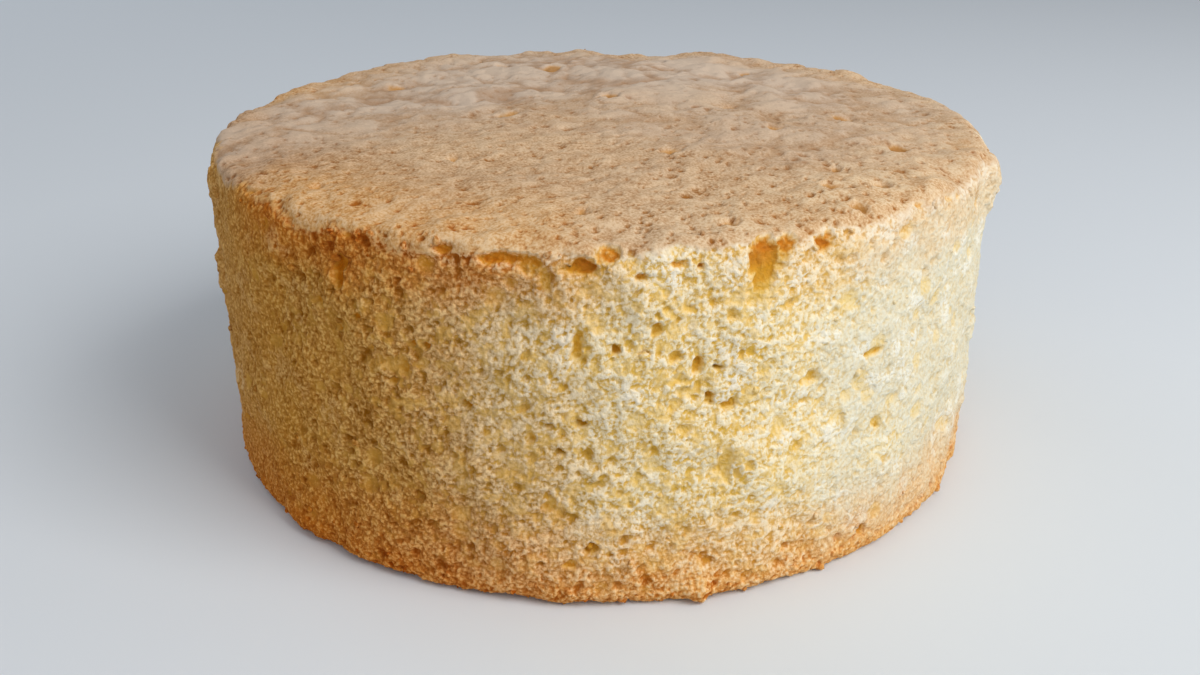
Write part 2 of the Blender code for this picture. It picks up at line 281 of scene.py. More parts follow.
# %% Named and drawn hollows
WALL_HOLLOWS = (
    (19.4, 77.4, 7.4, 15.0, 1.7),
    (22.3, 80.2, 5.4, 7.0, 1.4),
    (18.3, 70.0, 5.4, 4.0, 0.9),
    (27.3, 79.2, 4.6, 5.0, 1.5),
    (28.4, 81.0, 2.4, 3.6, 1.2),
    (-33.0, 71.0, 3.4, 7.6, 1.7),
    (0.9, 80.6, 5.6, 5.6, 1.3),
    (-1.9, 78.2, 5.0, 4.6, 2.0),
    (-3.6, 77.4, 3.2, 2.6, 1.6),
    (-10.6, 79.2, 13.5, 3.0, 1.4),
    (-8.0, 78.0, 5.0, 4.6, 1.5),
    (-18.4, 80.0, 4.4, 3.0, 1.3),
    (-6.4, 74.8, 3.6, 6.0, 1.2),
    (-10.4, 74.0, 3.0, 3.0, 0.9),
    (4.5, 76.1, 2.6, 2.0, 1.2),
    (8.9, 78.4, 4.4, 2.0, 1.0),
    (11.6, 56.5, 2.8, 4.2, 1.5),
    (14.2, 55.4, 3.0, 1.7, 2.1),
    (13.2, 48.4, 2.4, 2.4, 2.2),
    (15.4, 46.9, 5.4, 2.2, 1.4),
    (-2.6, 61.5, 2.2, 9.0, 1.4),
    (-2.3, 62.5, 2.2, 3.4, 1.0),
    (1.8, 60.7, 2.2, 1.8, 1.8),
    (6.5, 64.9, 3.6, 3.8, 1.4),
    (7.9, 68.8, 2.8, 2.4, 1.2),
    (7.6, 72.2, 2.4, 1.8, 1.0),
    (8.6, 58.9, 3.0, 2.8, 1.2),
    (11.4, 77.6, 1.8, 1.8, 1.2),
    (15.4, 66.8, 2.2, 2.4, 1.2),
    (26.5, 49.5, 5.2, 4.0, 1.2),
    (36.3, 52.2, 5.0, 2.4, 1.2),
    (10.2, 50.3, 5.0, 3.6, 1.1),
    (8.6, 47.6, 3.4, 3.0, 0.9),
    (9.4, 53.6, 4.0, 2.2, 0.9),
    (-37.0, 63.0, 3.0, 2.8, 1.2),
    (-34.0, 58.5, 2.4, 2.0, 1.2),
    (-30.5, 62.5, 2.8, 2.2, 1.4),
    (-23.0, 58.4, 2.6, 1.8, 1.4),
    (-21.0, 58.6, 1.8, 1.8, 1.4),
    (-29.0, 55.4, 2.0, 2.2, 1.4),
    (-24.0, 53.0, 3.2, 4.0, 1.0),
    (-26.0, 49.5, 2.4, 2.0, 1.2),
    (-16.0, 47.0, 2.0, 2.0, 1.4),
    (-2.4, 43.8, 1.8, 2.0, 2.0),
    (-6.1, 43.8, 2.6, 1.8, 1.4),
    (-8.2, 40.6, 2.0, 2.0, 1.2),
    (-5.0, 37.7, 1.6, 1.6, 1.8),
    (15.4, 33.2, 3.0, 10.0, 1.0),
    (10.0, 42.4, 3.6, 3.4, 1.0),
    (-6.0, 25.0, 3.6, 3.0, 1.0),
    (-1.0, 14.7, 2.4, 3.6, 1.4),
    (-3.6, 10.8, 3.8, 1.8, 1.2),
    (37.9, 34.1, 3.4, 3.0, 1.2),
    (37.0, 7.5, 3.2, 2.8, 1.4),
    (24.3, 9.3, 2.4, 2.0, 1.2),
    (18.6, 4.7, 2.6, 2.0, 1.2),
    (61.5, 77.0, 2.4, 6.0, 1.8),
    (68.0, 26.0, 2.4, 7.0, 1.2),
)
WALL_LUMPS = (
    (-72.0, 75.0, 7.0, 9.0, 1.1),
    (-71.0, 53.0, 7.0, 12.0, 1.3),
    (70.0, 76.0, 10.0, 14.0, 1.5),
    (71.0, 38.0, 7.0, 9.0, 1.4),
    (70.0, 17.0, 6.0, 7.0, 0.8),
    (12.6, 3.0, 6.0, 4.0, 1.0),
    (158.0, 60.0, 8.0, 10.0, 1.2),
    (236.0, 44.0, 7.0, 9.0, 1.2),
)
HOLLOW_SEED = 20
DRAWN_HOLLOWS = 90
DRAWN_ARC = (66.0, 316.0)
DRAWN_HEIGHTS = (6.0, 80.0)
RAGGED_ACROSS = ((0.8, 2.1, 5.3), (0.45, 0.9, 6.1))
RAGGED_ALONG = ((0.8, 2.1, 9.7), (0.45, 0.9, 7.9))


def drawn_hollows():
    """Hollows for the rest of the wall, one in each equal step round it; most of them are small."""
    draw = np.random.default_rng(HOLLOW_SEED)
    first, last = DRAWN_ARC
    for index in range(DRAWN_HOLLOWS):
        angle = first + (last - first) * (index + draw.random()) / DRAWN_HOLLOWS
        width = 1.8 + 3.6 * draw.random() ** 3
        tall = width * draw.uniform(0.6, 1.7)
        yield angle, draw.uniform(*DRAWN_HEIGHTS), width, tall, 0.4 + 0.32 * width


def ragged_spots(points, angles, heights, spots):
    """Depth at each point of spots (angle, height, width, tall, deep) that fall to 0 at a ragged outline."""
    depth = np.zeros(len(points), np.float32)
    ragged_x = bumpy(points, RAGGED_ACROSS)
    ragged_z = bumpy(points, RAGGED_ALONG)
    order = np.argsort(heights)
    sorted_heights = heights[order]
    for angle, height, width, tall, deep in spots:
        first, last = np.searchsorted(sorted_heights, (height - tall - 1, height + tall + 1))
        near = order[first:last]
        gap = (angles[near] - angle + 180) % 360 - 180
        near = near[np.abs(gap) * WALL_RADIUS < 60 * (width + 1.5)]
        gap = np.radians((angles[near] - angle + 180) % 360 - 180) * WALL_RADIUS
        rough = 0.7 + 0.1 * min(width, tall)
        across = (gap + rough * ragged_x[near]) / (width / 2)
        along = (heights[near] - height + rough * ragged_z[near]) / (tall / 2)
        inside = np.clip(1.4 * (1.08 - across ** 2 - along ** 2), 0, 1)
        inside *= 1 + 0.25 * ragged_z[near]
        depth[near] = np.maximum(depth[near], deep * inside)
    return depth


all_hollows = WALL_HOLLOWS + tuple(drawn_hollows())
print("hollows:", len(all_hollows))

# %% [markdown]
# ## How the oven coloured it, and painted light and shade
#
# The wall isn't one colour. It is golden brown on the left and pale cream on the right: partly toasting, and
# partly painted shade on the left, the side away from the window light, and painted light on the right, the
# side towards it. It is browned at the foot and in a band under part of the rim, and whitish where the crumb
# tore off with the lining and dried, with whitish flecks on the lit side that are partly painted highlight.
# Each of these is a mask from 0 to 1 over the surface, with ragged, uneven limits. How pale and how torn
# open the wall is goes by the angle from the front, between the values listed here. A browned place under
# the rim has an angle, the degrees from it up to which it is full and at which it ends, and a strength. The
# dry places are listed as the hollows are.

# %% Masks of colour round the wall
# From the toasted side to the pale side by angle: partly toasting, partly painted shade and painted light.
PALE_ROUND = (
    (-45, 0.0), (-28, 0.06), (-16, 0.24), (-5, 0.57), (5, 0.80), (16, 0.82), (27, 0.90), (38, 1.0),
    (75, 1.0), (110, 0.8), (150, 0.55), (190, 0.75), (230, 0.4), (270, 0.1), (315, 0.0),
)
OPEN_ROUND = (
    (-65, 0.2), (-45, 0.3), (-30, 0.85), (-16, 1.0), (18, 1.0), (30, 0.7), (42, 0.3), (75, 0.25), (105, 0.7),
    (150, 1.0), (200, 0.9), (250, 0.6), (295, 0.2),
)
RIM_BROWNED = ((-28, 17, 33, 0.95), (50, 22, 46, 0.4), (140, 12, 28, 0.8), (228, 20, 36, 0.9))
DRY_PLACES = (
    (-66.0, 25.0, 14.0, 15.0, 1.0),
    (-44.0, 74.0, 8.0, 8.0, 0.9),
    (8.0, 76.0, 20.0, 8.0, 0.9),
    (15.5, 75.0, 5.0, 12.0, 0.9),
    (24.0, 73.0, 7.0, 12.0, 0.8),
    (15.0, 51.0, 7.0, 10.0, 1.0),
    (-4.5, 62.5, 7.0, 8.0, 0.9),
    (4.5, 52.0, 6.0, 5.0, 0.6),
    (36.0, 79.0, 14.0, 5.0, 0.8),
    (66.0, 24.0, 12.0, 16.0, 0.8),
    (118.0, 30.0, 16.0, 20.0, 0.9),
    (176.0, 70.0, 30.0, 10.0, 0.8),
    (251.0, 20.0, 14.0, 14.0, 0.9),
)
FOOT_BROWN = (5.0, 31.0)
FOOT_DARK = (0.0, 10.0)
FOOT_NARROWER = 3.0
BAND_WIDE = (64, 74)
BAND_DARK = (73, 80)
# Heights over which hollows near the rim turn amber: partly browning, partly painted shade at their upper
# part.
AMBER_FROM = (71.0, 81.0)
CROWN_PALE = 0.6
CROWN_WITHIN = (55, 92)
RAGGED_LIMITS = ((3.0, 7.0, 71.0), (1.8, 2.6, 75.0))
# Noise for the whitish flecks, which are partly dried crumb and partly painted highlight.
FLECKS = ((1.0, 4.4, 111.0), (0.7, 1.7, 115.0))


def angle_gap(angles, angle):
    """Degrees between angles, never more than half a turn."""
    return np.abs((angles - angle + 180) % 360 - 180)


def oven_masks(points, angles, heights):
    """How pale, browned, dry, torn open and near the rim's amber the crumb is at each point."""
    drift = swell(points, 14.0, 101.0)
    # Painted light and shade: paler towards the window on the right, browner away from it on the left.
    places, values = zip(*PALE_ROUND)
    pale = np.interp(angles + 6 * drift, places, values, period=360)
    radius = np.hypot(points[:, 0], points[:, 1])
    pale = CROWN_PALE + (pale - CROWN_PALE) * ramp(radius, *CROWN_WITHIN)
    places, values = zip(*OPEN_ROUND)
    torn = np.interp(angles + 9 * drift, places, values, period=360)
    up = points[:, 2] + bumpy(points, RAGGED_LIMITS)
    browned = 0.7 * (1 - ramp(up + FOOT_NARROWER * pale, *FOOT_BROWN)) + 0.3 * (1 - ramp(up, *FOOT_DARK))
    band = 0.65 * ramp(up, *BAND_WIDE) + 0.35 * ramp(up, *BAND_DARK)
    for angle, full, none, strength in RIM_BROWNED:
        browned = np.maximum(browned, strength * band * (1 - ramp(angle_gap(angles, angle), full, none)))
    flecks = bumpy(points, FLECKS)
    dry = ragged_spots(points, angles, heights, DRY_PLACES) * ramp(flecks, -0.7, 0.3)
    # Whitish flecks, more on the pale, lit side and kept by the finish to the highest grains: partly painted
    # highlight.
    dry = np.maximum(dry, 0.75 * ramp(flecks, 0.3, 0.85) * (0.3 + 0.7 * pale)) * (1 - browned)
    # Amber near the rim: partly browning, partly painted shade in the upper part of the hollows there.
    amber = ramp(up, *AMBER_FROM)
    return {"pale": pale, "browned": browned, "dry": dry, "torn": torn, "amber": amber}


print("masks: pale, browned, dry, torn, amber")

# %% [markdown]
# ## The skin's relief
#
# The wall is torn crumb: bubbles of about a millimetre side by side, with thin broken walls between
# them that stand up as grains, and here and there a larger bubble with a smooth floor. The crust is a
# thin dry skin. It lies in soft pillows at the back and is finely pitted towards the front and the rim,
# where it frays out into the crumb; at the back it reaches a little lower. Its pits are given by their
# place from the axis, their width and their depth. One function returns the points of all this, and the
# masks that the finish reads.

# %% Relief of crumb, crust and foot
CRUST_EDGE = rim_start + 0.4 * rim_length
CRUST_PROUD = 0.12
BACK_FROM = (10, 80)
BACK_CRUST_LOWER = 3.5
MIDDLING_BUBBLES = (2.6, 0.3, 1.6, 3.0, 12.0)
LARGE_BUBBLES = (5.0, 0.4, 3.0, 2.6, 22.0)
SMALL_PORES = (1.4, 0.1, 0.85, 2.0, 31.0)
WIDE_PORES = (3.4, 0.3, 1.6, 3.0, 37.0)
TORN_GRAINS = ((0.19, 0.9, 3.0), (0.17, 0.5, 6.0), (0.16, 2.4, 9.0))
CRUST_BUMPS = ((-0.24, 2.6, 39.0), (-0.1, 1.1, 43.0))
RIM_WAVES = ((1.1, 12.0, 81.0), (0.6, 5.0, 83.0))
RIM_REACH = 8.0
ALL_WAVES = ((0.4, 7.0, 85.0), (0.3, 3.2, 87.0))
CRUST_WAVES = ((2.6, 11.0, 61.0), (1.8, 4.0, 65.0))
CRUST_FRAY = ((1.0, 1.7, 66.0), (0.7, 0.8, 67.0))
CRUST_FRINGE = 1.3
CRUST_TORN_BY_HOLLOWS = 5.0
PITTED_DRIFT = ((34.0, 36.0, 67.0), (20.0, 12.0, 68.0))
PITTED_TO_FRONT = (-60, 80)
PITTED_TO_RIM = (72, 100)
BROWNED_TO_RIM = (62, 96)
CROWN_PITS = (
    (2.9, 12.2, 4.4, 1.8),
    (-22.7, -5.6, 5.0, 1.2),
    (-14.5, 56.0, 6.0, 1.2),
    (33.5, 7.5, 5.0, 1.3),
    (15.9, -41.0, 4.4, 1.3),
    (43.8, -17.0, 6.0, 1.3),
    (62.5, -3.5, 4.6, 1.4),
    (71.2, -31.8, 7.0, 1.6),
    (50.0, -66.0, 4.6, 1.6),
    (60.5, -62.5, 4.4, 1.9),
    (52.7, -50.5, 3.6, 1.4),
    (53.5, -77.0, 3.4, 1.4),
    (-2.7, -81.0, 3.6, 1.3),
    (25.5, -86.0, 3.2, 1.4),
    (-33.6, -45.0, 3.4, 1.2),
    (-61.0, -62.0, 3.2, 1.2),
    (-30.0, 62.0, 3.6, 1.2),
    (18.0, 66.0, 4.0, 1.3),
    (-58.0, 34.0, 4.4, 1.2),
    (44.0, 58.0, 3.6, 1.3),
)


def open_crumb(points):
    """Depth in mm of the crumb's small bubbles; the grains between them stand up."""
    bent = pushed(points, 0.42, 1.7, (1.1, 4.4, 8.8))
    fine = bubble_bowls(bent, *FINE_BUBBLES)
    middling = bubble_bowls(bent, *MIDDLING_BUBBLES)
    return 0.62 * fine + 0.6 * middling - bumpy(points, TORN_GRAINS)


def crown_pits(points):
    """Depth in mm of the pits that can be told apart on the crown."""
    depth = np.zeros(len(points), np.float32)
    for x, y, across, deep in CROWN_PITS:
        away = np.hypot(points[:, 0] - x, points[:, 1] - y)
        near = np.flatnonzero(away < across)
        ragged = away[near] + 0.36 * across * swell(points[near], 0.45 * across, x)
        depth[near] = np.maximum(depth[near], deep * (1 - ramp(ragged, 0.18 * across, 0.72 * across)))
    return depth


def crust_pores(points):
    """Depth in mm of the dry crust's pores, with soft bumps between them."""
    bent = pushed(points, 0.4, 2.2, (31.0, 33.0, 35.0))
    small = bubble_bowls(bent, *SMALL_PORES)
    wide = bubble_bowls(bent, *WIDE_PORES) * ramp(swell(points, 16.0, 38.0), -0.3, 0.4)
    return bumpy(points, CRUST_BUMPS, 1.2 * small + 0.8 * wide)


def pillows(points):
    """Depth in mm of the creases between the crust's soft lumps."""
    small = 0.4 * np.abs(swell(points, 2.9, 58.0))
    bent = pushed(points, 2.4, 8.0, (50.0, 52.0, 54.0))
    return 0.65 - small - 0.8 * np.abs(swell(bent, 13.0, 51.0)) - 0.8 * np.abs(swell(bent, 6.2, 55.0))


def skin(along, share):
    """Points of the finished surface and its masks."""
    points, normals = outline_points(along, share)
    near_rim = np.exp(-((along - crown_start) / RIM_REACH) ** 2)
    bumps = near_rim * bumpy(points, RIM_WAVES) + bumpy(points, ALL_WAVES)
    angles = 360 * share
    heights = along - foot_length + FOOT_ROUND
    bumps += ragged_spots(points, angles, heights, WALL_LUMPS)
    points += normals * (form_at(along, share) + bumps)[:, None]
    masks = oven_masks(points, angles, heights)
    named = 0.9 * ragged_spots(points, angles, heights, all_hollows)
    edge = bumpy(points, CRUST_WAVES, along - CRUST_EDGE)
    edge += bumpy(points, CRUST_FRAY) - CRUST_TORN_BY_HOLLOWS * np.clip(named, 0, 1)
    edge += BACK_CRUST_LOWER * ramp(points[:, 1], *BACK_FROM)
    crust = ramp(edge, -CRUST_FRINGE, CRUST_FRINGE)
    radius = np.hypot(points[:, 0], points[:, 1])
    drift = bumpy(points, PITTED_DRIFT)
    to_front = ramp(drift - points[:, 1], *PITTED_TO_FRONT)
    to_rim = ramp(radius + 0.4 * drift, *PITTED_TO_RIM)
    pitted = np.maximum(to_front, 0.85 * to_rim)
    coarse = 0.24 + 0.34 * masks["browned"] * masks["amber"]
    large = np.maximum(named, coarse * bubble_bowls(points, *LARGE_BUBBLES)) * (1 - crust)
    creases = np.where(crust > 0, pillows(points), 0)
    pits = crown_pits(points) * crust
    crumb = open_crumb(points) * (0.6 + 0.5 * masks["torn"])
    pores = crust_pores(points) * (0.45 + 0.55 * pitted)
    fine = (crumb * (1 - crust) + pores * crust) * (1 - 0.4 * ramp(large + pits, 0.05, 0.5))
    sunk = fine * (1 - 0.3 * crust) + creases * crust * (1.15 - 0.75 * pitted) + large + pits
    points += normals * (CRUST_PROUD * crust - sunk)[:, None]
    points[:, 2] = np.maximum(points[:, 2], 0)
    masks |= {"hollow": fine, "creases": creases, "large": large + pits, "crust": crust, "pitted": pitted}
    lip = np.exp(-((edge + 0.2) / 1.4) ** 2)
    masks["dry"] = np.maximum(masks["dry"], 0.6 * lip)
    front = 1 - ramp(points[:, 1], *BACK_FROM)
    masks["browned"] *= 1 - crust * (1 - 0.45 * ramp(radius, *BROWNED_TO_RIM) * front)
    return points * MM, masks


# %% [markdown]
# ## From a grid to pieces
#
# The whole skin is one net of points, so that nothing gapes: rings along the outline, each with the
# same number of sectors on the wall, and half as many each time they crowd together towards the middle
# of the crown and of the underside. The net is worked out once, with its normals, and is then cut into
# pieces that share their edge points. Cutting it keeps each piece under 200,000 triangles and gives
# each part of the cake its own name.

# %% Steps of the net, and triangles between its rings
SECTORS, WALL_STEP, CROWN_STEP, UNDER_STEP = 1440, 0.42, 0.5, 1.3
PANELS = 4
CAP_RADIUS = 80.0
HALVE_BELOW = 0.8
SMALLEST_RING = 24


def ring_pair(lower, upper):
    """Triangles between two rings of point numbers, the upper with as many points or half as many."""
    ahead = np.roll(lower, -1)
    if len(upper) == len(lower):
        above = np.roll(upper, -1)
        return np.concatenate([np.stack([lower, ahead, above], 1), np.stack([lower, above, upper], 1)])
    first, middle, last = lower[::2], lower[1::2], np.roll(lower[::2], -1)
    above = np.roll(upper, -1)
    return np.concatenate([
        np.stack([first, middle, upper], 1),
        np.stack([middle, above, upper], 1),
        np.stack([middle, last, above], 1),
    ])


class Net:
    """Rings of surface points that are added one after another, and the triangles between them."""

    def __init__(self):
        self.along = []
        self.share = []
        self.count = 0
        self.faces = {}

    def ring(self, along, sectors):
        numbers = np.arange(self.count, self.count + sectors)
        self.along.append(np.full(sectors, along))
        self.share.append(np.arange(sectors) / sectors)
        self.count += sectors
        return numbers

    def add_faces(self, piece, faces):
        self.faces.setdefault(piece, []).append(faces)


print("points in a ring of the wall:", SECTORS)

# %% Wall, rim and the crown's edge
net = Net()
cap_start = crown_start + crown_radius - CAP_RADIUS
wall_along = np.concatenate([
    np.linspace(0, crown_start, round(crown_start / WALL_STEP) + 1),
    np.linspace(crown_start, cap_start, round((cap_start - crown_start) / CROWN_STEP) + 1)[1:],
])
wall_rings = [net.ring(along, SECTORS) for along in wall_along]
for lower, upper in zip(wall_rings, wall_rings[1:]):
    pair = ring_pair(lower, upper)
    panel = (pair[:, 0] - lower[0]) * PANELS // SECTORS
    for number in range(PANELS):
        net.add_faces(f"wall_crumb_{number + 1}", pair[panel == number])
print("rings from the foot to the crown's edge:", len(wall_rings))


# %% The crown's cap
def cap_rings(piece, ring, start_radius, step, along_at, flipped):
    """Close a ring towards the axis; halve its points as they crowd, and end in one point."""
    steps = round(start_radius / step)
    for number in range(1, steps):
        radius = start_radius * (1 - number / steps)
        count = len(ring)
        crowded = 2 * math.pi * radius / count < HALVE_BELOW * step
        if crowded and count % 2 == 0 and count > SMALLEST_RING:
            count //= 2
        inner = net.ring(along_at(radius), count)
        pair = ring_pair(ring, inner)
        net.add_faces(piece, pair[:, ::-1] if flipped else pair)
        ring = inner
    centre = net.ring(along_at(0.0), 1)
    fan = np.stack([ring, np.roll(ring, -1), np.repeat(centre, len(ring))], 1)
    net.add_faces(piece, fan[:, ::-1] if flipped else fan)


cap_rings("top_crust", wall_rings[-1], CAP_RADIUS, CROWN_STEP, lambda radius: whole_length - radius, False)
top_count = net.count
print("points of wall and crown:", top_count)

# %% [markdown]
# ## The underside, and the points' places
#
# The underside is a browned, finely pored disc that rests on the floor. It starts at the foot's lowest
# ring and isn't part of the outline, so its points get their own heights: pores reach up into the cake.
# All the other points get their places from the relief.

# %% Skin and underside
UNDER_PORES = (2.2, 0.3, 1.2, 2.0, 91.0)
UNDER_PORE_DEPTH = 0.5
UNDER_LIFT = 0.15
under_radius = WALL_RADIUS - FOOT_ROUND
cap_rings("base_crust", wall_rings[0], under_radius, UNDER_STEP, lambda radius: -radius, True)
along = np.concatenate(net.along)
share = np.concatenate(net.share)
points = np.zeros((net.count, 3))
top_points, top_masks = skin(along[:top_count], share[:top_count])
points[:top_count] = top_points
masks = {name: np.zeros(net.count, np.float32) for name in top_masks}
for name, values in top_masks.items():
    masks[name][:top_count] = values
under = slice(top_count, net.count)
under_places = directions(share[under]) * -along[under][:, None]
pores = bubble_bowls(under_places, *UNDER_PORES)
inside = ramp(under_radius + along[under], 0, 4)
under_places[:, 2] = inside * (UNDER_LIFT + UNDER_PORE_DEPTH * pores)
points[under] = under_places * MM
# Painted shade: the underside is darker in its pores.
masks["hollow"][under] = pores
masks["browned"][under] = 1.0
print("all points:", net.count)

# %% [markdown]
# ## Meshes from the net
#
# Each piece takes its own triangles and points out of the net. Its normals are the whole net's, so that
# the light shows no seam between two pieces, and each point carries the masks as named numbers for the
# finish to read.


# %% Normals and pieces
def net_normals(points, faces):
    """Unit normals at the net's points, from all the faces that meet there."""
    corners = points[faces]
    flat = np.cross(corners[:, 1] - corners[:, 0], corners[:, 2] - corners[:, 0])
    normals = np.zeros_like(points)
    for axis in range(3):
        for corner in range(3):
            normals[:, axis] += np.bincount(faces[:, corner], flat[:, axis], len(points))
    return normals / np.maximum(np.linalg.norm(normals, axis=1, keepdims=True), 1e-12)


all_faces = np.concatenate([np.concatenate(parts) for parts in net.faces.values()])
normals = net_normals(points, all_faces)


def make_piece(name, points, faces, masks, normals=None):
    """A mesh object from arrays, with one named number for each mask at each of its points."""
    mesh = bpy.data.meshes.new(name)
    mesh.vertices.add(len(points))
    mesh.vertices.foreach_set("co", points.astype(np.float32).ravel())
    mesh.loops.add(faces.size)
    mesh.loops.foreach_set("vertex_index", faces.astype(np.int32).ravel())
    mesh.polygons.add(len(faces))
    mesh.polygons.foreach_set("loop_start", np.arange(0, faces.size, 3, dtype=np.int32))
    mesh.update(calc_edges=True)
    mesh.validate()
    for mask, values in masks.items():
        layer = mesh.attributes.new(mask, "FLOAT", "POINT")
        layer.data.foreach_set("value", values.astype(np.float32))
    mesh.shade_smooth()
    if normals is not None:
        mesh.normals_split_custom_set_from_vertices(normals.astype(np.float32))
    piece = bpy.data.objects.new(name, mesh)
    bpy.context.scene.collection.objects.link(piece)
    return piece


pieces = {}
for name, parts in net.faces.items():
    used, faces = np.unique(np.concatenate(parts), return_inverse=True)
    own = {mask: values[used] for mask, values in masks.items()}
    pieces[name] = make_piece(name, points[used], faces.reshape(-1, 3), own, normals[used])
    print(name, "triangles:", len(pieces[name].data.polygons))

# %% [markdown]
# ## Crumbs that cling
#
# A turned-out sponge sheds crumbs that stick to it, most of them round the foot and along the torn edge
# of the crust. Each is a small ball pushed well out of shape and half sunk in the surface, and it has
# the colour of the place that it lies on. They are one joined mesh.

# %% Clinging crumbs
CRUMB_SEED = 33
CRUMB_COUNT = 520
CRUMB_RADII = (0.3, 1.0)
CRUMB_STRETCH = (0.6, 1.3)
CRUMB_BUMPS = ((0.45, 0.8, 17.0), (0.25, 0.4, 19.0))


def ball():
    """Points and triangles of a small round ball."""
    mesh = bmesh.new()
    bmesh.ops.create_icosphere(mesh, subdivisions=2, radius=1.0)
    places = np.array([vertex.co for vertex in mesh.verts])
    corners = np.array([[vertex.index for vertex in face.verts] for face in mesh.faces])
    mesh.free()
    return places, corners


def cling_crumbs():
    """One mesh of all the crumbs, at seeded places that favour the foot and the crust's edge."""
    draw = np.random.default_rng(CRUMB_SEED)
    wall = along[:top_count]
    weight = 0.12 + 2.0 * masks["browned"][:top_count] ** 3 + 0.3 * np.exp(-((wall - CRUST_EDGE) / 3.0) ** 2)
    weight[wall > crown_start + 4] = 0.0
    at = draw.choice(top_count, CRUMB_COUNT, p=weight / weight.sum())
    places, corners = ball()
    small, large = CRUMB_RADII
    sizes = small + (large - small) * draw.random(CRUMB_COUNT) ** 2.5
    grown = places[None] * sizes[:, None, None] * draw.uniform(*CRUMB_STRETCH, (CRUMB_COUNT, 1, 3))
    centres = points[at] / MM - normals[at] * (0.1 * sizes)[:, None]
    spots = grown + centres[:, None]
    flat = spots.reshape(-1, 3)
    outwards = np.tile(places, (CRUMB_COUNT, 1))
    bumps = bumpy(flat, CRUMB_BUMPS)
    flat += outwards * (bumps * np.repeat(sizes, len(places)))[:, None]
    flat[:, 2] = np.maximum(flat[:, 2], 0.0)
    faces = (corners[None] + len(places) * np.arange(CRUMB_COUNT)[:, None, None]).reshape(-1, 3)
    each = np.repeat(at, len(places))
    own = {name: values[each] for name, values in masks.items()}
    # Painted shade: each crumb is darker where its surface dips.
    own["hollow"] = 0.35 - 0.6 * bumps
    return make_piece("clinging_crumbs", flat * MM, faces, own)


pieces["clinging_crumbs"] = cling_crumbs()
print("crumbs:", CRUMB_COUNT)

# %% [markdown]
# ## Shader maths as plain Python
#
# A finish is a formula: mix this colour with that by a mask. To write it as one, a small class wraps a
# node's output and overloads Python's operators, so that `1 - mask` adds the Math node it needs.
# Colours go through Mix nodes, because a Math node would turn them grey. Every other node comes from
# `node`, which sets the node's own settings first and then its sockets. A wire without a socket stands
# for the node tree itself.

# %% A class for node outputs
class Wire:
    """One output of a node, with arithmetic on its value."""

    def __init__(self, tree, socket=None):
        self.tree = tree
        self.socket = socket

    def node(self, kind, settings=None, sockets=None, output=0):
        """A new node; settings are its own properties, sockets its inputs, each a value or a wire."""
        made = self.tree.nodes.new(kind)
        for name, value in (settings or {}).items():
            if name == "stops":
                self.set_stops(made.color_ramp.elements, value)
            else:
                setattr(made, name, value)
        for name, value in (sockets or {}).items():
            if isinstance(value, Wire):
                self.tree.links.new(value.socket, made.inputs[name])
            else:
                made.inputs[name].default_value = value
        return Wire(self.tree, made.outputs[output])

    @staticmethod
    def set_stops(elements, stops):
        while len(elements) < len(stops):
            elements.new(0.5)
        for element, (position, colour) in zip(elements, stops):
            element.position = position
            element.color = (*colour, 1.0)

    def maths(self, operation, first, second=0.0):
        return self.node("ShaderNodeMath", {"operation": operation}, {0: first, 1: second})

    def __add__(self, other):
        return self.maths("ADD", self, other)

    def __radd__(self, other):
        return self.maths("ADD", other, self)

    def __sub__(self, other):
        return self.maths("SUBTRACT", self, other)

    def __rsub__(self, other):
        return self.maths("SUBTRACT", other, self)

    def __mul__(self, other):
        return self.maths("MULTIPLY", self, other)

    def __rmul__(self, other):
        return self.maths("MULTIPLY", other, self)

    def ramped(self, low, high):
        """0 below low, 1 above high, smooth between."""
        settings = {"interpolation_type": "SMOOTHSTEP"}
        return self.node("ShaderNodeMapRange", settings, {"Value": self, "From Min": low, "From Max": high})

    def mixed(self, first, second):
        """First colour where this mask is 0, second where it is 1."""
        first = first if isinstance(first, Wire) else (*first, 1.0)
        second = second if isinstance(second, Wire) else (*second, 1.0)
        return self.node("ShaderNodeMix", {"data_type": "RGBA"}, {0: self, 6: first, 7: second}, output=2)


print("node outputs can now be added, subtracted and multiplied")

# %% [markdown]
# ## The baked sponge
#
# Crumb, crust and browned foot are one substance baked to different depths, so they are one material
# steered by the masks. Each has three tones, which paint light and shade onto the relief: the torn tops of
# the bubble walls are light, the bowls between them are painted darker and yellower, as light that has
# bounced about in yellow crumb comes out yellower, and the deepest pits are painted brown shade. The crumb
# runs from toasted and painted shade, on the side away from the window, to pale and painted light, with a
# smooth, calmer cream where the lining came away cleanly; browned crumb runs from scorched and shaded to
# browned; the crust is pitted, darker in painted shade on the side away from the window, or calm. The short
# lists hold two tones each: dry flakes and the yellow floors of larger bubbles, whose yellow is partly
# painted bounce light, for the toasted, shaded side and for the pale, lit side, and the insides of large
# bubbles from less deep to deepest, darker as painted shade.

# %% Tones of the sponge
# Light, middling and dark tones: the middling and dark ones are painted shade in the bowls and pits.
PALE_TONES = ((0.93, 0.88, 0.71), (0.95, 0.84, 0.56), (0.78, 0.49, 0.08))
SMOOTH_TONES = ((0.75, 0.73, 0.61), (0.70, 0.65, 0.51), (0.67, 0.57, 0.38))
# Toasted crumb, and painted shade on the side away from the window.
TOASTED_AND_SHADED_TONES = ((0.80, 0.465, 0.125), (0.53, 0.235, 0.036), (0.27, 0.085, 0.002))
BROWNED_TONES = ((0.91, 0.65, 0.35), (0.82, 0.43, 0.125), (0.50, 0.14, 0.012))
# Scorched crumb, and painted shade on the side away from the window.
SCORCHED_AND_SHADED_TONES = ((0.84, 0.38, 0.085), (0.56, 0.165, 0.014), (0.31, 0.055, 0.002))
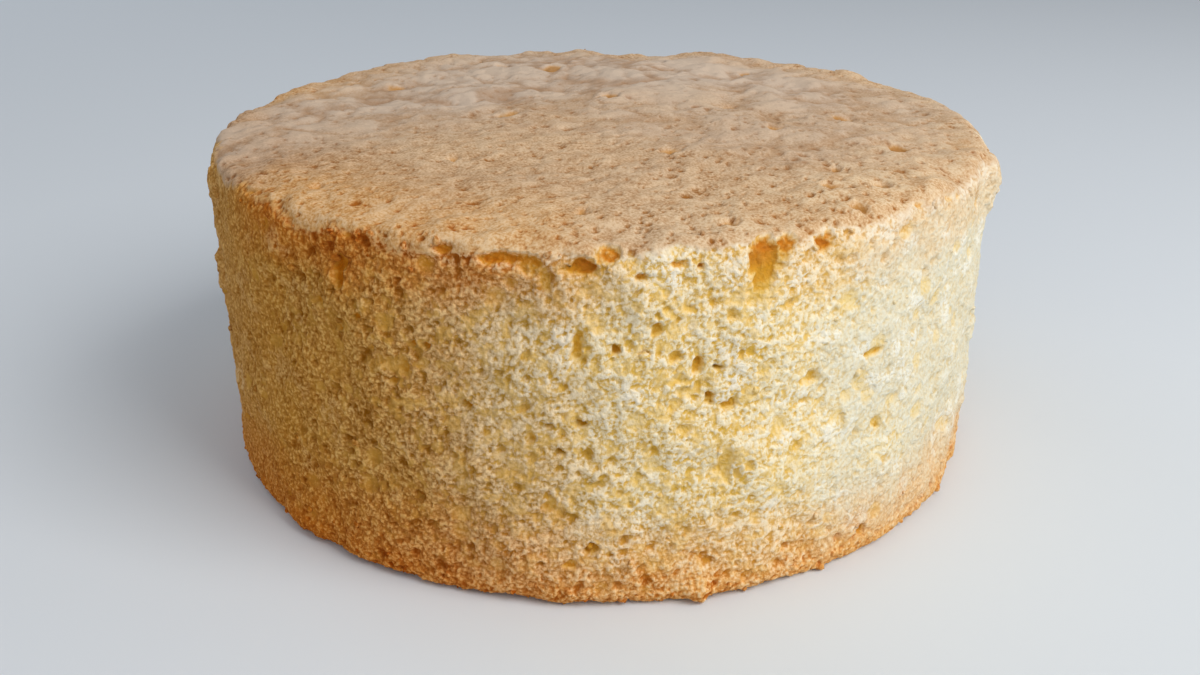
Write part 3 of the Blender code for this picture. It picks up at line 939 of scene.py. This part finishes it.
# Pitted crust on the side away from the window, darker as painted shade.
PITTED_SHADED_TONES = ((0.64, 0.40, 0.23), (0.44, 0.245, 0.112), (0.25, 0.09, 0.017))
PITTED_TONES = ((0.77, 0.59, 0.385), (0.595, 0.395, 0.23), (0.34, 0.145, 0.035))
CALM_TONES = ((0.62, 0.49, 0.375), (0.605, 0.475, 0.365), (0.38, 0.22, 0.12))
# Where the three tones sit as depth goes from 0 to 1; the darker ones are painted shade.
TONE_STOPS = (0.08, 0.48, 1.0)
DRY_TONES = ((0.78, 0.50, 0.22), (0.92, 0.90, 0.80))
# Yellow floors of larger bubbles and yellow patches: partly painted bounce light; the first tone is for the
# shaded side.
YELLOW_FLOOR_TONES = ((0.60, 0.30, 0.045), (0.88, 0.62, 0.20))
# Insides of large bubbles: painted glow, darker where deepest as painted shade.
DEEP_TONES = ((0.80, 0.55, 0.12), (0.60, 0.30, 0.02))
DEEP_TOASTED_AND_SHADED_TONES = ((0.62, 0.32, 0.04), (0.56, 0.19, 0.005))
# Amber inside bubbles near the rim: partly browning, partly painted shade.
AMBER_TONES = ((0.72, 0.34, 0.035), (0.52, 0.155, 0.006))
# Crust pits, darker as painted shade.
PIT_TONES = ((0.60, 0.32, 0.10), (0.38, 0.16, 0.025))


def in_place(tree):
    """The place of a point in the cake's own space."""
    return tree.node("ShaderNodeTexCoord", output="Object")


def grain(tree, size_mm, detail):
    """Fine noise about 0, mostly between -0.2 and 0.2, with grains of a real size."""
    sockets = {"Vector": in_place(tree), "Scale": 1 / (MM * size_mm), "Detail": detail, "Roughness": 0.6}
    return tree.node("ShaderNodeTexNoise", {"noise_dimensions": "3D"}, sockets) - 0.5


def granules(tree, size_mm):
    """Closely packed round granules of a real size: -0.4 in their middles, rising to 0.2 between them."""
    sockets = {"Vector": in_place(tree), "Scale": 1 / (MM * size_mm)}
    return tree.node("ShaderNodeTexVoronoi", None, sockets, output="Distance") - 0.4


def mask(tree, name):
    """One of the numbers that the net's points carry."""
    return tree.node("ShaderNodeAttribute", {"attribute_name": name}, output="Fac")


def toned(tree, depth, tones):
    """A colour from light through middling to dark as depth goes from 0 to 1: painted shade, darker in
    hollows.
    """
    return tree.node("ShaderNodeValToRGB", {"stops": tuple(zip(TONE_STOPS, tones))}, {"Fac": depth})


print("tones: pale, smooth, toasted, browned, scorched, pitted crust, calm crust")

# %% [markdown]
# ## Colour of the crumb and of the crust
#
# The crumb's colour is built up in the order in which the oven and the baker made it: the tones of
# baked crumb first, then the yellow floors of larger bubbles, the browning, the deep colours inside the
# hollows, and last the dry flakes and whitish flecks on what stands highest. Large bubbles glow because
# light comes through their thin walls; that glow is painted into their colours, and so is the shade in
# their deepest parts. The crust's colour is made in the same way, with fewer steps.


# %% Colours of hollows, crumb and crust
def deep_colour(tree, sunk):
    """Colour in large bubbles: ochre on the wall, amber near the rim, and darker where deepest; the glow in
    them is painted light, the darkening painted shade.
    """
    toasted_and_shaded = sunk.mixed(*DEEP_TOASTED_AND_SHADED_TONES)
    ochre = mask(tree, "pale").ramped(0.0, 0.6).mixed(toasted_and_shaded, sunk.mixed(*DEEP_TONES))
    amber = tree.maths("MAXIMUM", mask(tree, "amber"), mask(tree, "browned"))
    return amber.mixed(ochre, sunk.mixed(*AMBER_TONES))


def crumb_colour(tree, depth, fine):
    """Colour of the open crumb: its tones, yellow floors of larger bubbles, browned and dry places."""
    large = mask(tree, "large")
    pale = mask(tree, "pale")
    smooth = pale.ramped(0.85, 1.0) * (1 - mask(tree, "torn"))
    palest = smooth.mixed(toned(tree, depth, PALE_TONES), toned(tree, depth, SMOOTH_TONES))
    colour = pale.mixed(toned(tree, depth, TOASTED_AND_SHADED_TONES), palest)
    patches = (grain(tree, 3.4, 1.0) + 0.1 * fine).ramped(0.03, 0.14)
    floors = large.ramped(0.08, 0.4) + mask(tree, "torn") * patches
    # Yellow floors of larger bubbles, partly painted bounce light, and random yellow patches on the torn
    # crumb.
    colour = (floors.ramped(0.0, 1.0) * (0.6 - 0.25 * smooth)).mixed(colour, pale.mixed(*YELLOW_FLOOR_TONES))
    baked = pale.mixed(toned(tree, depth, SCORCHED_AND_SHADED_TONES), toned(tree, depth, BROWNED_TONES))
    colour = mask(tree, "browned").mixed(colour, baked)
    sunk = large + 0.35 * fine
    # Inside large bubbles: painted glow, and painted shade where deepest.
    colour = (0.95 * sunk.ramped(0.35, 1.3)).mixed(colour, deep_colour(tree, sunk.ramped(0.5, 1.6)))
    # Whitish dry flakes and flecks on what stands highest; the flecks are partly painted highlight.
    light = mask(tree, "dry") * (1 - depth.ramped(0.4, 0.85)) * (1 - large.ramped(0.3, 0.9))
    return (0.8 * light).mixed(colour, pale.mixed(*DRY_TONES))


def crust_colour(tree, depth, fine):
    """Colour of the crust: finely pitted at the front and rim, soft and greyer at the back, with painted
    shade in its pits and creases and on the side away from the window.
    """
    # Painted shade: the calm crust is darker in its creases and hollows.
    calm_depth = 0.6 * mask(tree, "creases") + 0.5 * grain(tree, 9.0, 2.0)
    calm_depth = calm_depth + 0.6 * mask(tree, "hollow") + 0.5 * fine
    calm = toned(tree, calm_depth.ramped(-0.7, 0.6), CALM_TONES)
    # Painted shade: the pitted crust is darker on the side away from the window.
    pitted_shaded = toned(tree, depth, PITTED_SHADED_TONES)
    pitted = mask(tree, "pale").mixed(pitted_shaded, toned(tree, depth, PITTED_TONES))
    colour = mask(tree, "pitted").mixed(calm, pitted)
    colour = mask(tree, "browned").mixed(colour, toned(tree, depth, BROWNED_TONES))
    # Painted shade: darker in the crust's pits, and darkest in the deepest.
    sunk = mask(tree, "large") + 0.3 * fine
    return (0.85 * sunk.ramped(0.35, 1.2)).mixed(colour, sunk.ramped(0.5, 1.6).mixed(*PIT_TONES))


print("colours: inside large bubbles, of the crumb and of the crust")

# %% [markdown]
# ## The material
#
# Noise finer than the net of points breaks the tones up, and the same noise is the fine bump: grains
# and granules on the torn crumb, and a finer dust on the crust. Where it dips, the tones darken, which is
# painted shade on that fine relief. A sponge is matt, so it is rough and hardly shines.

# %% One material for every piece
BUMP_HEIGHT = 0.25 * MM
BUMP_STRENGTH = 0.7
SPONGE_ROUGHNESS = 0.9
SPONGE_SHINE = 0.05


def baked_sponge():
    """The material of every piece."""
    material = bpy.data.materials.new("baked sponge")
    material.use_nodes = True
    shader = material.node_tree.nodes["Principled BSDF"]
    tree = Wire(material.node_tree)
    crust = mask(tree, "crust")
    torn_fine = 1.9 * grain(tree, 0.7, 2.0) + 0.9 * granules(tree, 0.95)
    dusty = 1.5 * grain(tree, 0.6, 1.0) * (0.4 + 0.6 * mask(tree, "pitted"))
    fine = torn_fine * (1 - crust) + dusty * crust
    contrast = 0.6 + 0.5 * tree.maths("MAXIMUM", mask(tree, "torn"), crust)
    # Depth picks the tone, so the deeper a point lies the darker it is: painted shade.
    depth = ((mask(tree, "hollow") + fine - 0.1) * contrast).ramped(-0.75, 0.9)
    colour = crust.mixed(crumb_colour(tree, depth, fine), crust_colour(tree, depth, fine))
    height = (0.5 * crust - 1) * fine
    sockets = {"Strength": BUMP_STRENGTH, "Distance": BUMP_HEIGHT, "Height": height}
    bump = tree.node("ShaderNodeBump", None, sockets)
    material.node_tree.links.new(colour.socket, shader.inputs["Base Color"])
    material.node_tree.links.new(bump.socket, shader.inputs["Normal"])
    shader.inputs["Roughness"].default_value = SPONGE_ROUGHNESS
    shader.inputs["Specular IOR Level"].default_value = SPONGE_SHINE
    return material


sponge = baked_sponge()
for name, piece in pieces.items():
    piece.data.materials.append(sponge)
print("nodes in the finish:", len(sponge.node_tree.nodes))

# %% [markdown]
# ## Camera
#
# The camera looks at the cake as the photograph does: close, from a little above, so that the wall
# narrows towards the foot. Its place in metres, its tilt in degrees and its lens in millimetres were
# fitted to the cake's outline.

# %% Camera
CAMERA_PLACE = (0.0, -0.3233, 0.1612)
CAMERA_TILT = 23.48
CAMERA_LENS = 37.6
CAMERA_SENSOR = 36.0
CAMERA_NEAR = 0.01

camera_data = bpy.data.cameras.new("camera")
camera_data.lens = CAMERA_LENS
camera_data.sensor_width = CAMERA_SENSOR
camera_data.clip_start = CAMERA_NEAR
camera = bpy.data.objects.new("camera", camera_data)
camera.location = CAMERA_PLACE
camera.rotation_euler = (math.radians(90 - CAMERA_TILT), 0, 0)
bpy.context.scene.collection.objects.link(camera)
bpy.context.scene.camera = camera
print("camera, in mm from the cake's axis:", round(-CAMERA_PLACE[1] / MM, 1))

# %% [markdown]
# ## Light and floor
#
# The wall is bright on the right and turns golden brown on the left, so the main light is a wide soft
# window at the right front. A weaker fill comes from the front and a bluish one from behind on the
# left, and pale blue-white surroundings stand for the bright room. The floor is a plain pale plane.

# %% Light and floor
AIM = (0, 0, 0.05)
LIGHTS = (
    ("window", (0.68, -0.51, 0.82), 0.7, 9.5, (1.0, 0.98, 0.95)),
    ("front fill", (-0.1, -1.3, 0.9), 0.9, 2.4, (1.0, 0.98, 0.95)),
    ("back fill", (-1.0, 0.9, 0.8), 0.9, 2.6, (0.88, 0.94, 1.0)),
)
ROOM_COLOUR = (0.90, 0.94, 1.0, 1.0)
ROOM_STRENGTH = 0.37
FLOOR_SIZE = 40.0
FLOOR_LOWER = 0.2 * MM
FLOOR_COLOUR = (0.72, 0.76, 0.80, 1.0)
FLOOR_ROUGHNESS = 0.9
FLOOR_SHINE = 0.2


def area_light(name, place, size, power, colour):
    """A square soft light that faces the cake."""
    data = bpy.data.lights.new(name, "AREA")
    data.size = size
    data.energy = power
    data.color = colour
    light = bpy.data.objects.new(name, data)
    light.location = place
    light.rotation_euler = (Vector(AIM) - Vector(place)).to_track_quat("-Z", "Y").to_euler()
    bpy.context.scene.collection.objects.link(light)


for light in LIGHTS:
    area_light(*light)

world = bpy.data.worlds.new("studio")
world.use_nodes = True
world.node_tree.nodes["Background"].inputs["Color"].default_value = ROOM_COLOUR
world.node_tree.nodes["Background"].inputs["Strength"].default_value = ROOM_STRENGTH
bpy.context.scene.world = world
bpy.context.scene.view_settings.view_transform = "Standard"

bpy.ops.mesh.primitive_plane_add(size=FLOOR_SIZE, location=(0, 0, -FLOOR_LOWER))
floor_object = bpy.context.object
floor_object.name = "floor"
floor_material = bpy.data.materials.new("pale floor")
floor_material.use_nodes = True
floor_shader = floor_material.node_tree.nodes["Principled BSDF"]
floor_shader.inputs["Base Color"].default_value = FLOOR_COLOUR
floor_shader.inputs["Roughness"].default_value = FLOOR_ROUGHNESS
floor_shader.inputs["Specular IOR Level"].default_value = FLOOR_SHINE
floor_object.data.materials.append(floor_material)
print("lights:", len(LIGHTS))

# %% [markdown]
# ## Handing the pieces over
#
# Every piece rides on the cake's one body, and the imported solid is hidden.

# %% Ride, replace and finish
for name, piece in pieces.items():
    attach(piece, "root")
    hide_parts("sponge_cake")
